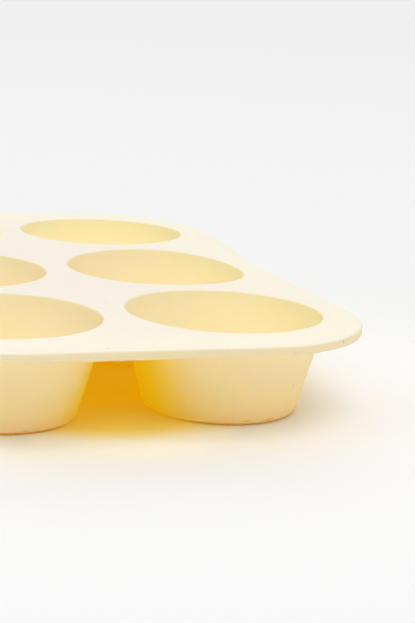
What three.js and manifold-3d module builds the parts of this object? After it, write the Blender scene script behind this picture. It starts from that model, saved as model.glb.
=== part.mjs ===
// Silicone muffin pan: a flat deck with two columns of three tapered cups.
// Millimetres, +Z up. The origin is on the table under the middle of the deck,
// +X runs across the columns and +Y along them, from the front cups to the back ones.

import * as THREE from 'three';
import { mergeVertices } from 'three/addons/utils/BufferGeometryUtils.js';
import Module from 'manifold-3d';

// Driving dimensions: layout
const COLUMN_NAMES = ['left', 'right'];
const ROW_NAMES = ['front', 'middle', 'back'];
const COLUMN_PITCH = 82;
const ROW_PITCH = 80.5;

// Driving dimensions: deck
const PAN_HEIGHT = 35;
const DECK_THICKNESS = 3.2;
const END_FLANGE = 20.4;
const SIDE_FLANGE = 11.4;
const CORNER_RADIUS = 50;
const DECK_EDGE_RADIUS = 0.7;

// Driving dimensions: cups, measured on the inside at the deck's top
const MOUTH_RADIUS = 35.6;
const WALL_DRAFT = THREE.MathUtils.degToRad(15);
const WALL_THICKNESS = 1.4;
const FLOOR_THICKNESS = 2;
const LIP_RADIUS = 0.8;
const ROOT_RADIUS = 1.5;
const OUTER_HEEL_RADIUS = 2;
const INNER_HEEL_RADIUS = 4;

// Facets
const CUP_SEGMENTS = 40;
const FILLET_STEPS = 3;
const CORNER_STEPS = 8;

// Finish of the moulded silicone
const SILICONE_COLOR = 0xf6ecca;
const SILICONE_ROUGHNESS = 0.45;

const deckUnderside = PAN_HEIGHT - DECK_THICKNESS;
const cutClearance = DECK_THICKNESS;

const wasm = await Module();
wasm.setup();

// Radius of a cup's inner face at a height over the table.
function innerRadius(height) {
  return MOUTH_RADIUS - (PAN_HEIGHT - height) * Math.tan(WALL_DRAFT);
}

// Radius of a cup's outer face at a height over the table.
function outerRadius(height) {
  return innerRadius(height) + WALL_THICKNESS / Math.cos(WALL_DRAFT);
}

// Arc that rounds the corner of a profile, tangent to the legs to the points before and after it.
function roundedCorner(before, corner, after, radius) {
  const toBefore = before.clone().sub(corner).normalize();
  const toAfter = after.clone().sub(corner).normalize();
  const halfAngle = Math.acos(toBefore.dot(toAfter)) / 2;
  const bisector = toBefore.clone().add(toAfter).normalize();
  const centre = corner.clone().addScaledVector(bisector, radius / Math.sin(halfAngle));
  const tangentLength = radius / Math.tan(halfAngle);
  const start = corner.clone().addScaledVector(toBefore, tangentLength);
  const end = corner.clone().addScaledVector(toAfter, tangentLength);
  const startAngle = start.clone().sub(centre).angle();
  const turn = end.clone().sub(centre).angle() - startAngle;
  const shortTurn = turn - 2 * Math.PI * Math.round(turn / (2 * Math.PI));
  const points = [start];
  for (let step = 1; step < FILLET_STEPS; step += 1) {
    const angle = startAngle + (shortTurn * step) / FILLET_STEPS;
    points.push(new THREE.Vector2(Math.cos(angle), Math.sin(angle)).multiplyScalar(radius).add(centre));
  }
  points.push(end);
  return points;
}

// Solid of revolution about +Z from a profile of radius and height.
function revolve(profile) {
  return new THREE.LatheGeometry(profile, CUP_SEGMENTS).rotateX(Math.PI / 2);
}

function toManifold(geometry) {
  const bare = geometry.clone();
  bare.deleteAttribute('normal');
  bare.deleteAttribute('uv');
  const merged = mergeVertices(bare);
  return new wasm.Manifold(new wasm.Mesh({
    numProp: 3,
    vertProperties: new Float32Array(merged.attributes.position.array),
    triVerts: new Uint32Array(merged.index.array),
  }));
}

function toGeometry(manifold) {
  const mesh = manifold.getMesh();
  const geometry = new THREE.BufferGeometry();
  geometry.setAttribute('position', new THREE.BufferAttribute(mesh.vertProperties, 3));
  geometry.setIndex(new THREE.BufferAttribute(mesh.triVerts, 1));
  geometry.computeVertexNormals();
  return geometry;
}

// Centre of each cup, with its name.
function cupPlaces() {
  const places = [];
  ROW_NAMES.forEach((rowName, row) => {
    COLUMN_NAMES.forEach((columnName, column) => {
      places.push({
        name: `cup_${rowName}_${columnName}`,
        x: (column - (COLUMN_NAMES.length - 1) / 2) * COLUMN_PITCH,
        y: (row - (ROW_NAMES.length - 1) / 2) * ROW_PITCH,
      });
    });
  });
  return places;
}

// Rounded rectangle round all the mouths and their flanges.
function deckOutline() {
  const halfWidth = ((COLUMN_NAMES.length - 1) * COLUMN_PITCH) / 2 + MOUTH_RADIUS + SIDE_FLANGE;
  const halfLength = ((ROW_NAMES.length - 1) * ROW_PITCH) / 2 + MOUTH_RADIUS + END_FLANGE;
  const radius = Math.min(CORNER_RADIUS, halfWidth, halfLength);
  const outline = new THREE.Shape();
  outline.absarc(halfWidth - radius, radius - halfLength, radius, -Math.PI / 2, 0);
  outline.absarc(halfWidth - radius, halfLength - radius, radius, 0, Math.PI / 2);
  outline.absarc(radius - halfWidth, halfLength - radius, radius, Math.PI / 2, Math.PI);
  outline.absarc(radius - halfWidth, radius - halfLength, radius, Math.PI, 1.5 * Math.PI);
  outline.closePath();
  return outline;
}

// Plug of the space in a mouth: the cup's taper, opening into the rounded lip at the deck's top.
function mouthPlug() {
  const below = deckUnderside - cutClearance;
  const above = PAN_HEIGHT + cutClearance;
  const taperStart = new THREE.Vector2(innerRadius(below), below);
  const edge = new THREE.Vector2(MOUTH_RADIUS, PAN_HEIGHT);
  const outward = new THREE.Vector2(MOUTH_RADIUS + LIP_RADIUS, PAN_HEIGHT);
  const lip = roundedCorner(taperStart, edge, outward, LIP_RADIUS);
  return revolve([
    new THREE.Vector2(0, below),
    taperStart,
    ...lip,
    new THREE.Vector2(lip.at(-1).x, above),
    new THREE.Vector2(0, above),
  ]);
}

// The deck: a plate with rounded edges, cut by a plug at every cup.
function deckGeometry() {
  const plate = new THREE.ExtrudeGeometry(deckOutline(), {
    depth: DECK_THICKNESS - 2 * DECK_EDGE_RADIUS,
    curveSegments: CORNER_STEPS,
    bevelThickness: DECK_EDGE_RADIUS,
    bevelSize: DECK_EDGE_RADIUS,
    bevelOffset: -DECK_EDGE_RADIUS,
    bevelSegments: FILLET_STEPS,
  }).translate(0, 0, deckUnderside + DECK_EDGE_RADIUS);
  const plug = mouthPlug();
  let solid = toManifold(plate);
  cupPlaces().forEach(({ x, y }) => {
    solid = solid.subtract(toManifold(plug.clone().translate(x, y, 0)));
  });
  return toGeometry(solid);
}

// A cup: floor and tapered wall, rounded at the heel and flared where it joins the deck's underside.
function cupGeometry() {
  const underCentre = new THREE.Vector2(0, 0);
  const outerHeel = new THREE.Vector2(outerRadius(0), 0);
  const root = new THREE.Vector2(outerRadius(deckUnderside), deckUnderside);
  const rootOutward = new THREE.Vector2(root.x + ROOT_RADIUS, deckUnderside);
  const innerEdge = new THREE.Vector2(innerRadius(deckUnderside), deckUnderside);
  const innerHeel = new THREE.Vector2(innerRadius(FLOOR_THICKNESS), FLOOR_THICKNESS);
  const floorCentre = new THREE.Vector2(0, FLOOR_THICKNESS);
  return revolve([
    underCentre,
    ...roundedCorner(underCentre, outerHeel, root, OUTER_HEEL_RADIUS),
    ...roundedCorner(outerHeel, root, rootOutward, ROOT_RADIUS),
    innerEdge,
    ...roundedCorner(innerEdge, innerHeel, floorCentre, INNER_HEEL_RADIUS),
    floorCentre,
  ]);
}

function siliconeMesh(name, geometry) {
  const material = new THREE.MeshStandardMaterial({
    color: SILICONE_COLOR,
    roughness: SILICONE_ROUGHNESS,
    metalness: 0,
  });
  const mesh = new THREE.Mesh(geometry, material);
  mesh.name = name;
  return mesh;
}

const pan = new THREE.Group();
pan.add(siliconeMesh('deck', deckGeometry()));
const cup = cupGeometry();
cupPlaces().forEach(({ name, x, y }) => {
  const mesh = siliconeMesh(name, cup);
  mesh.position.set(x, y, 0);
  pan.add(mesh);
});

export default pan;
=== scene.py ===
"""Looks of the silicone muffin pan: one seamless cream moulding on a white table, in metres, +Z up."""

import bmesh
import bpy
import numpy as np
from mathutils import Matrix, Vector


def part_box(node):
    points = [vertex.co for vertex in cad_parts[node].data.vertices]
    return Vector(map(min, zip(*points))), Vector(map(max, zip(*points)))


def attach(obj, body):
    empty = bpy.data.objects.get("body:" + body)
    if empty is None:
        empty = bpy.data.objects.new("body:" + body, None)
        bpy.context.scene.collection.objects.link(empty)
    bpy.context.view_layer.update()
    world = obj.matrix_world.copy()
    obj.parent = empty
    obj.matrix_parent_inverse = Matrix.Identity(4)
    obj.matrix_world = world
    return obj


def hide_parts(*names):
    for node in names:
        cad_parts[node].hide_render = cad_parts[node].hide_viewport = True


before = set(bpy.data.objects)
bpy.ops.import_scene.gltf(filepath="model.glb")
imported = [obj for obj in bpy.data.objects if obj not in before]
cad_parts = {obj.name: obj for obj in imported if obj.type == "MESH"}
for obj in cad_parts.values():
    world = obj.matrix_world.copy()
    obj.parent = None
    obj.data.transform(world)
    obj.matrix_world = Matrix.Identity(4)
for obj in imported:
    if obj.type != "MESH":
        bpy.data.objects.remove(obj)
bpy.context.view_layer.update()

# The cups: six tapered pots with flat floors, moulded in one with the deck from soft silicone.
# Their walls draft so that they leave the mould, and every corner is rounded so that a muffin lets go.
mouth_radius = 0.0356
wall_draft = np.radians(15)
wall_thickness = 0.0014
floor_thickness = 0.002
lip_radius = 0.0008
root_radius = 0.0015
outer_heel_radius = 0.002
inner_heel_radius = 0.004
floor_leg_points = 8
heel_arc_points = 12
wall_leg_points = 15
top_arc_points = 9
deck_low, deck_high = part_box("deck")
deck_top = deck_high.z
deck_underside = deck_low.z
cup_nodes = sorted(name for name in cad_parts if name.startswith("cup_"))


def inner_radius(height):
    """Radius of a cup's inside: the mouth's, less the drop from the deck's top times the draft's tangent."""
    return mouth_radius - (deck_top - height) * np.tan(wall_draft)


def outer_radius(height):
    """Radius of a cup's outside: the inside's, plus the wall measured level across its slope."""
    return inner_radius(height) + wall_thickness / np.cos(wall_draft)


def crowded_shares(count):
    """Shares from 0 to 1 that crowd towards both ends, as half a cosine wave does."""
    return (1 - np.cos(np.linspace(0, np.pi, count))) / 2


def straight_leg(start, end, count):
    """Points from start to end, by crowded shares of the way."""
    return start + (end - start) * crowded_shares(count)[:, None]


def rounded_corner(before, corner, after, radius, count):
    """Arc tangent to both legs of a corner: its centre is on their bisector, at the radius over the sine
    of half the corner's angle, and its points turn evenly from one tangent point to the other."""
    to_before = (before - corner) / np.linalg.norm(before - corner)
    to_after = (after - corner) / np.linalg.norm(after - corner)
    half_angle = np.arccos(to_before @ to_after) / 2
    bisector = (to_before + to_after) / np.linalg.norm(to_before + to_after)
    centre = corner + bisector * radius / np.sin(half_angle)
    tangent_length = radius / np.tan(half_angle)
    spoke = corner + to_before * tangent_length - centre
    side = corner + to_after * tangent_length - centre
    turn = np.arctan2(spoke[0] * side[1] - spoke[1] * side[0], spoke @ side)
    angle = np.arctan2(spoke[1], spoke[0]) + np.linspace(0, turn, count)
    return centre + radius * np.stack([np.cos(angle), np.sin(angle)], axis=1)


def cup_profile(centre, heel, heel_radius, top, top_outward, top_radius):
    """Radius and height along a cup's skin, from its axis over the floor, round the heel, up the wall
    and round the corner into the deck: straight legs between tangent arcs, joined end to end."""
    heel_arc = rounded_corner(centre, heel, top, heel_radius, heel_arc_points)
    top_arc = rounded_corner(heel, top, top_outward, top_radius, top_arc_points)
    floor_leg = straight_leg(centre, heel_arc[0], floor_leg_points)
    wall_leg = straight_leg(heel_arc[-1], top_arc[0], wall_leg_points)
    return np.concatenate([floor_leg[:-1], heel_arc, wall_leg[1:-1], top_arc])


inside_profile = cup_profile(
    np.array([0, floor_thickness]),
    np.array([inner_radius(floor_thickness), floor_thickness]),
    inner_heel_radius,
    np.array([mouth_radius, deck_top]),
    np.array([mouth_radius + lip_radius, deck_top]),
    lip_radius,
)
outside_profile = cup_profile(
    np.array([0.0, 0.0]),
    np.array([outer_radius(0), 0]),
    outer_heel_radius,
    np.array([outer_radius(deck_underside), deck_underside]),
    np.array([outer_radius(deck_underside) + root_radius, deck_underside]),
    root_radius,
)

# The deck: the plate that carries the cups, a little over 3 mm thick, with broad round corners and a
# soft edge. Each cup owns the cell of deck up to the lines midway to its neighbours.
deck_corner_radius = 0.050
deck_edge_radius = 0.0007
outline_half = np.array([deck_high.x, deck_high.y]) - deck_edge_radius
outline_radius = deck_corner_radius - deck_edge_radius
samples_per_side = 31
deck_rings = 13
edge_arc_points = 6
outline_halvings = 50
line_decimals = 6
same_line = 1e-4
same_reach = 1e-7


def cup_centre(node):
    """Middle of a cup's box, seen from above."""
    low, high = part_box(node)
    return np.array([low.x + high.x, low.y + high.y]) / 2


cup_centres = np.array([cup_centre(node) for node in cup_nodes])
column_lines = np.unique(cup_centres[:, 0].round(line_decimals))
row_lines = np.unique(cup_centres[:, 1].round(line_decimals))


def outline_distance(point):
    """Signed distance to the deck's flat outline, a rectangle with round corners: how far the point is
    past the corner circles' centres, as a length where both are positive, less the radius."""
    past = np.abs(point) - (outline_half - outline_radius)
    return np.linalg.norm(np.maximum(past, 0), axis=-1) + np.minimum(past.max(axis=-1), 0) - outline_radius


def outline_normal(point):
    """Level direction out of the outline: the excess past the corner circles' centres, with the signs of
    the point and brought to a length of one."""
    past = np.maximum(np.abs(point) - (outline_half - outline_radius), 0) * np.sign(point)
    return past / np.linalg.norm(past, axis=-1, keepdims=True)


def reach_to_outline(centre, direction):
    """Distance from a cup's axis to the outline along each direction, by halving the span many times."""
    near = np.zeros(len(direction))
    far = np.full(len(direction), 2 * np.linalg.norm(outline_half))
    for _ in range(outline_halvings):
        middle = (near + far) / 2
        inside = outline_distance(centre + direction * middle[:, None]) < 0
        near = np.where(inside, middle, near)
        far = np.where(inside, far, middle)
    return near


def cell_edge(line_values, value):
    """The lines midway from one cup line to the next on each side, or infinity where there is none."""
    below = line_values[line_values < value - same_line]
    above = line_values[line_values > value + same_line]
    low = (below.max() + value) / 2 if len(below) else -np.inf
    high = (above.min() + value) / 2 if len(above) else np.inf
    return low, high


def cell_spokes(centre):
    """Spokes out from a cup's axis over its cell of deck: their directions, their lengths, and whether they
    end on the deck's outline. The cell's corners, or the middle of a round one, part the turn into four
    sides of even steps. A spoke ends at the cell's lines or at the outline, whichever it meets first."""
    low_x, high_x = cell_edge(column_lines, centre[0])
    low_y, high_y = cell_edge(row_lines, centre[1])
    corner_x = np.clip([low_x, high_x], -outline_half[0], outline_half[0])
    corner_y = np.clip([low_y, high_y], -outline_half[1], outline_half[1])
    corners = np.array([[corner_x[1], corner_y[1]], [corner_x[0], corner_y[1]],
                        [corner_x[0], corner_y[0]], [corner_x[1], corner_y[0]]])
    round_corner = np.isinf([[high_x, high_y], [low_x, high_y], [low_x, low_y], [high_x, low_y]]).all(axis=1)
    arc_middle = np.sign(corners) * (outline_half - outline_radius * (1 - np.sqrt(0.5)))
    to_corner = np.where(round_corner[:, None], arc_middle, corners) - centre
    corner_angle = np.unwrap(np.arctan2(to_corner[:, 1], to_corner[:, 0]))
    corner_angle = np.append(corner_angle, corner_angle[0] + 2 * np.pi)
    sides = [np.linspace(corner_angle[k], corner_angle[k + 1], samples_per_side) for k in range(4)]
    angle = np.concatenate([side[:-1] for side in sides] + [corner_angle[-1:]])
    direction = np.stack([np.cos(angle), np.sin(angle)], axis=1)
    with np.errstate(divide="ignore", invalid="ignore"):
        reach_x = np.where(direction[:, 0] > 0, high_x - centre[0], low_x - centre[0]) / direction[:, 0]
        reach_y = np.where(direction[:, 1] > 0, high_y - centre[1], low_y - centre[1]) / direction[:, 1]
    to_lines = np.minimum(reach_x, reach_y)
    to_outline = reach_to_outline(centre, direction)
    return direction, np.minimum(to_lines, to_outline), to_outline <= to_lines + same_reach


def face_sheet(profile, deck_height, outer_share, centre, direction, reach):
    """Grid of one face of a cell: the cup's profile turned about its axis, then flat rings that spread from
    the profile's last radius to the ends of the spokes."""
    last = profile[-1, 0]
    flat = last + (reach - last) * crowded_shares(deck_rings)[1:, None]
    radius = np.concatenate([np.repeat(profile[:, :1], len(reach), axis=1), flat])
    height = np.concatenate([profile[:, 1], np.full(len(flat), deck_height)])
    deck_share = np.concatenate([np.zeros(len(profile) - top_arc_points),
                                 np.linspace(0, 1, top_arc_points), np.ones(len(flat))])
    values = (centre[0] + radius * direction[:, 0], centre[1] + radius * direction[:, 1],
              height[:, None], deck_share[:, None], outer_share, 0.0)
    return np.stack(np.broadcast_arrays(*values), axis=-1)


def edge_strip(centre, direction, reach, on_outline):
    """Grid of the deck's edge along a cell's stretch of the outline: a quarter round at the top and another
    at the underside, which stand out along the outline's normal by the sine of their turn."""
    turn = np.linspace(0, np.pi / 2, edge_arc_points)
    edge_share = np.concatenate([np.sin(turn), np.sin(turn)[::-1]])
    drop = deck_edge_radius * (1 - np.cos(turn))
    height = np.concatenate([deck_top - drop, deck_underside + drop[::-1]])
    outer_share = np.linspace(0, 1, len(edge_share))
    starts = np.flatnonzero(on_outline & ~np.roll(on_outline, 1))
    first = starts[0] if len(starts) else 0
    order = (np.arange(len(reach) - 1) + first) % (len(reach) - 1)
    run = order[on_outline[order]]
    rim = centre + direction[run] * reach[run, None]
    edge = rim + outline_normal(rim) * edge_share[:, None, None] * deck_edge_radius
    values = (edge[..., 0], edge[..., 1], height[:, None], 1.0, outer_share[:, None], edge_share[:, None])
    return np.stack(np.broadcast_arrays(*values), axis=-1)


def grid_faces(rows, columns, start, inward):
    """Quads of a grid of points whose columns run anticlockwise, turned over where inward is set."""
    index = start + np.arange(rows * columns).reshape(rows, columns)
    quads = np.stack([index[:-1, :-1], index[1:, :-1], index[1:, 1:], index[:-1, 1:]], axis=-1)
    return quads.reshape(-1, 4)[:, ::-1] if inward else quads.reshape(-1, 4)


def cell_skin(centre):
    """Skin of one cup and its cell of deck: the inner face, the outer face and the deck's edge between them.
    A point holds its place, its share of deck, from wall to flat, its share of outer face, from top to
    underside, and its share of the deck's edge, the sine of the turn round it."""
    direction, reach, on_outline = cell_spokes(centre)
    inner = face_sheet(inside_profile, deck_top, 0.0, centre, direction, reach)
    outer = face_sheet(outside_profile, deck_underside, 1.0, centre, direction, reach)
    edge = edge_strip(centre, direction, reach, on_outline)
    grids = [inner, outer, edge]
    points = [grid.reshape(-1, grid.shape[-1]) for grid in grids]
    starts = np.cumsum([0] + [len(block) for block in points[:-1]])
    faces = [grid_faces(*grid.shape[:2], start, grid is outer) for grid, start in zip(grids, starts)]
    return np.concatenate(points), np.concatenate(faces)


# The moulding as a whole: all cells welded into one closed skin, because the real pan has no seam. Soft
# silicone never lies quite flat, so the deck lifts and droops by a millimetre or so, and the cups with it.
weld_distance = 2e-6
deck_lifts = np.array([
    # x, y, spread across, spread along, lift
    [0.060, 0.058, 0.060, 0.032, 0.0011],
    [0.090, -0.008, 0.022, 0.045, -0.0016],
    [0.020, 0.150, 0.200, 0.030, -0.0012],
    [-0.088, -0.136, 0.030, 0.030, -0.0015],
])


def settle(points):
    """Raises the points by a sum of bell curves over the deck, in full at its top and not at all on the
    table."""
    across = (points[:, None, 0] - deck_lifts[:, 0]) / deck_lifts[:, 2]
    along = (points[:, None, 1] - deck_lifts[:, 1]) / deck_lifts[:, 3]
    lift = (deck_lifts[:, 4] * np.exp(-across ** 2 - along ** 2)).sum(axis=1)
    settled = points.copy()
    settled[:, 2] += lift * points[:, 2] / deck_top
    return settled


cells = [cell_skin(centre) for centre in cup_centres]
cell_starts = np.cumsum([0] + [len(points) for points, _ in cells[:-1]])
skin_points = settle(np.concatenate([points for points, _ in cells]))
skin_faces = np.concatenate([faces + start for (_, faces), start in zip(cells, cell_starts)])
skin_mesh = bpy.data.meshes.new("pan_skin")
skin_mesh.from_pydata(skin_points[:, :3], [], skin_faces.tolist())

# The share of light that a face lets through: least on the deck's top, more outside towards the heels, and
# most in the shelter of the deck, between the cups, where light has come through several walls. Baked-on
# brown and a painted contact shade keep to the heels, and there is less of them in the shelter.
inside_glow = 0.30
inside_heel_glow = 0.38
top_glow = 0.26
wall_glow = 0.46
heel_glow = 0.62
sheltered_glow = 0.85
thick_wall_height = 0.020
shelter_start = 0.026
shelter_end = 0.050
table_contact = 1e-6
heel_mark_height = 0.0022
sheltered_heel_cut = 0.6


def between(first, second, share):
    """The first value at a share of 0, the second at 1, and on the straight line from one to the other."""
    return first + (second - first) * share


deck_share, outer_share, edge_share = skin_points[:, 3:].T
top_share = deck_share * (1 - outer_share)
height_share = np.clip(skin_points[:, 2] / thick_wall_height, 0, 1)
# Shelter grows with the way in from the deck's outline, eased at its start and its end.
way_in = -outline_distance(skin_points[:, :2])
shelter = np.clip((way_in - shelter_start) / (shelter_end - shelter_start), 0, 1)
shelter_share = shelter ** 2 * (3 - 2 * shelter)
outer_glow = between(between(heel_glow, wall_glow, height_share), sheltered_glow, shelter_share)
inner_glow = between(between(inside_heel_glow, inside_glow, height_share), top_glow, top_share)
off_table = skin_points[:, 2] > table_contact
heel_share = np.clip(1 - skin_points[:, 2] / heel_mark_height, 0, 1) * outer_share * off_table
skin_layers = {
    "deck_top": top_share,
    "deck_edge": edge_share,
    "outer_face": outer_share,
    "over_gaps": shelter_share * (1 - outer_share),
    "in_gaps": shelter_share * outer_share,
    "heel": heel_share * (1 - sheltered_heel_cut * shelter_share),
    "glow": between(inner_glow, outer_glow, outer_share),
}
for layer_name, layer_values in skin_layers.items():
    layer = skin_mesh.attributes.new(layer_name, "FLOAT", "POINT")
    layer.data.foreach_set("value", layer_values.astype(np.float32))
welder = bmesh.new()
welder.from_mesh(skin_mesh)
bmesh.ops.remove_doubles(welder, verts=welder.verts, dist=weld_distance)
welder.to_mesh(skin_mesh)
welder.free()
skin_mesh.shade_smooth()
pan_skin = bpy.data.objects.new("pan_skin", skin_mesh)
bpy.context.scene.collection.objects.link(pan_skin)
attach(pan_skin, "root")
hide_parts("deck", *cup_nodes)

# Cream silicone, cloudy and satin. It passes red and yellow light on and swallows blue, so the thin walls
# glow orange from behind. Use has left a few dark specks in it and baked-on brown patches by the heels,
# and a line of painted contact shade runs where the heels meet the table.
# Its creams come in pairs, the pale and the deep tone of the cloud.
cup_tones = (1.0, 0.965, 0.765, 1), (1.0, 0.955, 0.735, 1)
layer_tones_and_painted_light = {
    "outer_face": ((1.0, 1.0, 1.0, 1), (1.0, 0.99, 0.97, 1)),
    # The deck's top is painted a paler, cooler cream than the cups: painted sheen of its satin top seen at a
    # low angle, which also offsets the warm light that comes up through it.
    "deck_top": ((0.895, 0.918, 0.935, 1), (0.885, 0.908, 0.915, 1)),
    # The deck's edge is painted a darker beige: painted shade of the upright face, which gets less of the
    # light from high above.
    "deck_edge": ((0.86, 0.80, 0.745, 1), (0.84, 0.78, 0.715, 1)),
}
painted_gap_light = {"over_gaps": (0.978, 1.04, 1.01, 1), "in_gaps": (1.0, 0.93, 0.3, 1)}
inside_amber = (1.0, 0.91, 0.0, 1)
outside_amber = (1.0, 0.825, 0.0, 1)
speck_brown = (0.40, 0.27, 0.12, 1)
baked_brown_and_contact_shade = (0.66, 0.26, 0.0, 1)
silicone_ior = 1.41
silicone = bpy.data.materials.new("silicone")
silicone.use_nodes = True
silicone_tree = silicone.node_tree
silicone_tree.nodes.clear()


def add_node(tree, kind, settings=None, inputs=None):
    """New node of a node tree, with its own settings by name. An input given another node's socket is linked
    to it, and any other value is set as it is."""
    made = tree.nodes.new(kind)
    for name, value in (settings or {}).items():
        setattr(made, name, value)
    for name, value in (inputs or {}).items():
        if isinstance(value, bpy.types.NodeSocket):
            tree.links.new(value, made.inputs[name])
        else:
            made.inputs[name].default_value = value
    return made


def mixed(tree, share, under, over, blend_type="MIX"):
    """Colour that goes from one to the other by a share. A Mix node's colours are its inputs 6 and 7, and
    its output 2."""
    mix = add_node(tree, "ShaderNodeMix", {"data_type": "RGBA", "blend_type": blend_type},
                   {0: share, 6: under, 7: over})
    return mix.outputs[2]


def ranged(tree, value, low=0.0, high=1.0, at_low=0.0, at_high=1.0, easing="SMOOTHSTEP"):
    """Value that goes from one level to another while the input goes from low to high, and then stays."""
    step = add_node(tree, "ShaderNodeMapRange", {"interpolation_type": easing},
                    {"Value": value, "From Min": low, "From Max": high, "To Min": at_low, "To Max": at_high})
    return step.outputs["Result"]


def number_maths(tree, operation, first, second):
    """Number that an operation makes of two others."""
    return add_node(tree, "ShaderNodeMath", {"operation": operation}, {0: first, 1: second}).outputs[0]


def vector_maths(tree, operation, *operands):
    """What an operation makes of vectors: a number for a length, distance or dot product, else a vector."""
    result = add_node(tree, "ShaderNodeVectorMath", {"operation": operation}, dict(enumerate(operands)))
    return result.outputs["Value" if operation in ("LENGTH", "DISTANCE", "DOT_PRODUCT") else "Vector"]


def skin_layer(layer_name):
    """Share that the skin has of one of its layers."""
    return add_node(silicone_tree, "ShaderNodeAttribute", {"attribute_name": layer_name}).outputs["Fac"]


place = add_node(silicone_tree, "ShaderNodeTexCoord").outputs["Object"]


def noise(scale, detail, roughness):
    """Noise about one half all over the skin, with so many waves to the metre."""
    pattern = add_node(silicone_tree, "ShaderNodeTexNoise",
                       inputs={"Vector": place, "Scale": scale, "Detail": detail, "Roughness": roughness})
    return pattern.outputs["Fac"]


cloud = noise(scale=26, detail=3, roughness=0.6)
tone = mixed(silicone_tree, cloud, *cup_tones)
for layer_name, tones in layer_tones_and_painted_light.items():
    tone = mixed(silicone_tree, skin_layer(layer_name), tone, mixed(silicone_tree, cloud, *tones))

# In the gaps between the cups the cream is painted orange: painted glow of the light that has come through
# several walls there. Over the gaps the cream is painted a little less red, to offset the same light coming
# up through the skin.
for layer_name, painted_tint in painted_gap_light.items():
    tone = mixed(silicone_tree, skin_layer(layer_name), tone, painted_tint, "MULTIPLY")

# Specks and two smears, as the place on the skin, the half-width and half-height in metres, and how much of
# the brown covers the cream in the core.
mark_core = 0.2
marks = [
    ((0.0675, -0.1269, 0.0340), 0.0008, 0.0008, 0.75),
    ((0.0593, -0.1058, 0.0132), 0.0008, 0.0008, 0.45),
    ((0.0639, -0.1006, 0.0106), 0.0010, 0.0010, 0.42),
    ((0.0014, -0.0646, 0.0350), 0.0009, 0.0009, 0.33),
    ((-0.0171, -0.1321, 0.0350), 0.0012, 0.0012, 0.27),
    ((0.0220, -0.1365, 0.0341), 0.0005, 0.0005, 0.18),
    ((0.0463, -0.1357, 0.0326), 0.0006, 0.0006, 0.30),
    ((0.0413, -0.1088, 0.0018), 0.0026, 0.0005, 0.55),
    ((0.0503, -0.1070, 0.0015), 0.0032, 0.0008, 0.55),
]
for mark_place, half_width, half_height, cover in marks:
    scale = 1 / np.array([half_width, half_width, half_height])
    away = vector_maths(silicone_tree, "MULTIPLY_ADD", place, scale, -scale * mark_place)
    distance = vector_maths(silicone_tree, "LENGTH", away)
    spot = ranged(silicone_tree, distance, low=mark_core, at_low=cover, at_high=0.0)
    tone = mixed(silicone_tree, spot, tone, speck_brown)

# Baked-on brown and painted contact shade: a thin dark line where the heels meet the table is painted shade
# of the crevice there, and broken patches just above it are baked-on brown. Both cover the cream and stop
# some of the light that comes through.
at_heel = skin_layer("heel")
crust = noise(scale=150, detail=4, roughness=0.7)
painted_contact_shade = ranged(silicone_tree, at_heel, low=0.40, high=0.80, at_high=0.95)
low_down = ranged(silicone_tree, at_heel, high=0.6)
broken = ranged(silicone_tree, crust, low=0.50, high=0.72, at_high=0.6)
patches = number_maths(silicone_tree, "MULTIPLY", low_down, broken)
baked_and_contact_shade = number_maths(silicone_tree, "MAXIMUM", painted_contact_shade, patches)
tone = mixed(silicone_tree, baked_and_contact_shade, tone, baked_brown_and_contact_shade)
uncovered = ranged(silicone_tree, baked_and_contact_shade, at_low=1.0, at_high=0.5, easing="LINEAR")

# The satin of a blasted mould: a fine grain in the surface and an uneven gloss.
grain = noise(scale=1400, detail=2, roughness=0.5)
relief = add_node(silicone_tree, "ShaderNodeBump",
                  inputs={"Height": grain, "Strength": 0.05, "Distance": 0.0002})
body = add_node(silicone_tree, "ShaderNodeBsdfPrincipled", inputs={
    "Base Color": tone,
    "Roughness": ranged(silicone_tree, cloud, at_low=0.34, at_high=0.42, easing="LINEAR"),
    "IOR": silicone_ior,
    "Normal": relief.outputs["Normal"],
})
amber = mixed(silicone_tree, skin_layer("outer_face"), inside_amber, outside_amber)
through = add_node(silicone_tree, "ShaderNodeBsdfTranslucent", inputs={"Color": amber})
let_through = number_maths(silicone_tree, "MULTIPLY", skin_layer("glow"), uncovered)
both = add_node(silicone_tree, "ShaderNodeMixShader",
                inputs={0: let_through, 1: body.outputs[0], 2: through.outputs[0]})
add_node(silicone_tree, "ShaderNodeOutputMaterial", inputs={"Surface": both.outputs[0]})
skin_mesh.materials.append(silicone)

# The table: a broad top that the cups stand on, painted a matt white without any gloss. The camera sees
# painted light and shade on its white, which changes with the distance from a point under the front of the
# pan:
# lighter under the pan, a painted shadow just in front of it and darker further out. A painted orange glow
# under the pan stands in for the light that the silicone lets through.
table_half = 15.0
table_drop = -0.0001
table_roughness = 0.9
lit_white = (0.98, 0.98, 0.98, 1)
fade_centre = (0, -0.10, 0)
fade_radius = 2.6
painted_table_shade = [
    # distance, white
    (0.0, 0.95),
    (0.02, 0.93),
    (0.045, 0.82),
    (0.075, 0.868),
    (0.12, 0.868),
    (0.27, 0.812),
    (0.6, 0.813),
    (1.6, 0.792),
    (2.6, 0.777),
]
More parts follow.
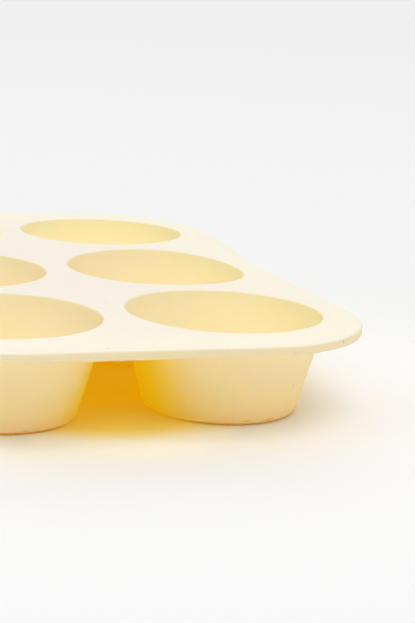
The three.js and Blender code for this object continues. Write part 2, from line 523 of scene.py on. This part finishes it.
# The painted orange glow ends between two distances from the origin, which count for more across the pan.
painted_glow_under_pan = (0.96, 0.81, 0.27, 1)
under_pan_end = (0.104, 0.124)
under_pan_stretch = (1.5, 1, 1)
table_mesh = bpy.data.meshes.new("table_top")
table_mesh.from_pydata([(-table_half, -table_half, table_drop), (table_half, -table_half, table_drop),
                        (table_half, table_half, table_drop), (-table_half, table_half, table_drop)],
                       [], [(0, 1, 2, 3)])
table_top = bpy.data.objects.new("table_top", table_mesh)
bpy.context.scene.collection.objects.link(table_top)
table_paint = bpy.data.materials.new("table_paint")
table_paint.use_nodes = True
table_tree = table_paint.node_tree
table_tree.nodes.clear()
spot_on_table = add_node(table_tree, "ShaderNodeTexCoord").outputs["Object"]
from_front = vector_maths(table_tree, "DISTANCE", spot_on_table, fade_centre)
out_to_fade = ranged(table_tree, from_front, high=fade_radius, easing="LINEAR")
fade = add_node(table_tree, "ShaderNodeValToRGB", inputs={"Fac": out_to_fade})
fade.color_ramp.interpolation = "EASE"
while len(fade.color_ramp.elements) < len(painted_table_shade):
    fade.color_ramp.elements.new(1.0)
for stop, (radius, white) in zip(fade.color_ramp.elements, painted_table_shade):
    stop.position = radius / fade_radius
    stop.color = (white, white, white, 1)
stretched = vector_maths(table_tree, "MULTIPLY", spot_on_table, under_pan_stretch)
from_middle = vector_maths(table_tree, "LENGTH", stretched)
under_pan = ranged(table_tree, from_middle, *under_pan_end, at_low=1.0, at_high=0.0)
seen_painted_light = mixed(table_tree, under_pan, fade.outputs["Color"], painted_glow_under_pan)
seen = add_node(table_tree, "ShaderNodeLightPath").outputs["Is Camera Ray"]
table_coat = add_node(table_tree, "ShaderNodeBsdfPrincipled", inputs={
    "Base Color": mixed(table_tree, seen, lit_white, seen_painted_light),
    "Roughness": table_roughness,
    "Specular IOR Level": 0.0,
})
add_node(table_tree, "ShaderNodeOutputMaterial", inputs={"Surface": table_coat.outputs[0]})
table_mesh.materials.append(table_paint)

# The light: a soft dome overhead, a broad lamp high over the front, a window at the left, a white sweep
# behind and a weak fill at the right. The camera, and the gloss of the silicone, see plain white paper.
dome_strength = 0.63
dome_heights = (0.20, 0.66)
soft_lights = {
    # name: heading and height of its middle in degrees, angles where its full and last light end, strength
    "lamp": (-92, 58, 11, 28, 2.87),
    "window": (-172, 37, 8, 30, 1.15),
    "sweep": (86, 21, 11, 40, 1.45),
    "fill": (-14, 30, 10, 40, 0.65),
}
paper_white = (0.93, 0.93, 0.93, 1)
light_bounces = 32
studio = bpy.data.worlds.new("studio")
bpy.context.scene.world = studio
studio.use_nodes = True
studio_tree = studio.node_tree
studio_tree.nodes.clear()
outlook = add_node(studio_tree, "ShaderNodeTexCoord").outputs["Generated"]
upward = add_node(studio_tree, "ShaderNodeSeparateXYZ", inputs={0: outlook}).outputs["Z"]
light = ranged(studio_tree, upward, *dome_heights, at_high=dome_strength)
for *angles, strength in soft_lights.values():
    heading, height, full_angle, last_angle = np.radians(angles)
    middle = (np.cos(height) * np.cos(heading), np.cos(height) * np.sin(heading), np.sin(height))
    facing = vector_maths(studio_tree, "DOT_PRODUCT", outlook, middle)
    patch = ranged(studio_tree, facing, np.cos(last_angle), np.cos(full_angle), at_high=strength)
    light = number_maths(studio_tree, "ADD", light, patch)
lit = add_node(studio_tree, "ShaderNodeBackground", inputs={"Color": (1, 1, 1, 1), "Strength": light})
paper = add_node(studio_tree, "ShaderNodeBackground", inputs={"Color": paper_white})
rays = add_node(studio_tree, "ShaderNodeLightPath")
on_paper = number_maths(studio_tree, "MAXIMUM", rays.outputs["Is Camera Ray"], rays.outputs["Is Glossy Ray"])
shown = add_node(studio_tree, "ShaderNodeMixShader",
                 inputs={0: on_paper, 1: lit.outputs[0], 2: paper.outputs[0]})
add_node(studio_tree, "ShaderNodeOutputWorld", inputs={"Surface": shown.outputs[0]})
bpy.context.scene.cycles.max_bounces = light_bounces
bpy.context.scene.cycles.diffuse_bounces = light_bounces
bpy.context.scene.cycles.transmission_bounces = light_bounces

# The camera: a long lens a little over the deck, in front of the pan and to its left. It is tipped down to
# the pan and rolled by a few degrees.
camera_place = np.array([-0.1698, -0.6383, 0.1631])
camera_heading = np.radians(-20.14)
camera_tilt = np.radians(12.20)
camera_roll = np.radians(3.39)
focal_length_mm = 98.17
sensor_width_mm = 36
farthest_seen = 100
right = np.array([np.cos(camera_heading), np.sin(camera_heading), 0])
ahead = np.array([-np.sin(camera_heading), np.cos(camera_heading), 0])
up = np.array([0, 0, 1])
view = ahead * np.cos(camera_tilt) - up * np.sin(camera_tilt)
lifted = up * np.cos(camera_tilt) + ahead * np.sin(camera_tilt)
picture_right = right * np.cos(camera_roll) + lifted * np.sin(camera_roll)
picture_up = lifted * np.cos(camera_roll) - right * np.sin(camera_roll)
lens = bpy.data.cameras.new("camera")
lens.sensor_width = sensor_width_mm
lens.lens = focal_length_mm
lens.clip_end = farthest_seen
camera = bpy.data.objects.new("camera", lens)
bpy.context.scene.collection.objects.link(camera)
turned = np.eye(4)
turned[:3, :3] = np.stack([picture_right, picture_up, -view], axis=1)
turned[:3, 3] = camera_place
camera.matrix_world = Matrix(turned.tolist())
bpy.context.scene.camera = camera
bpy.context.scene.view_settings.view_transform = "Standard"
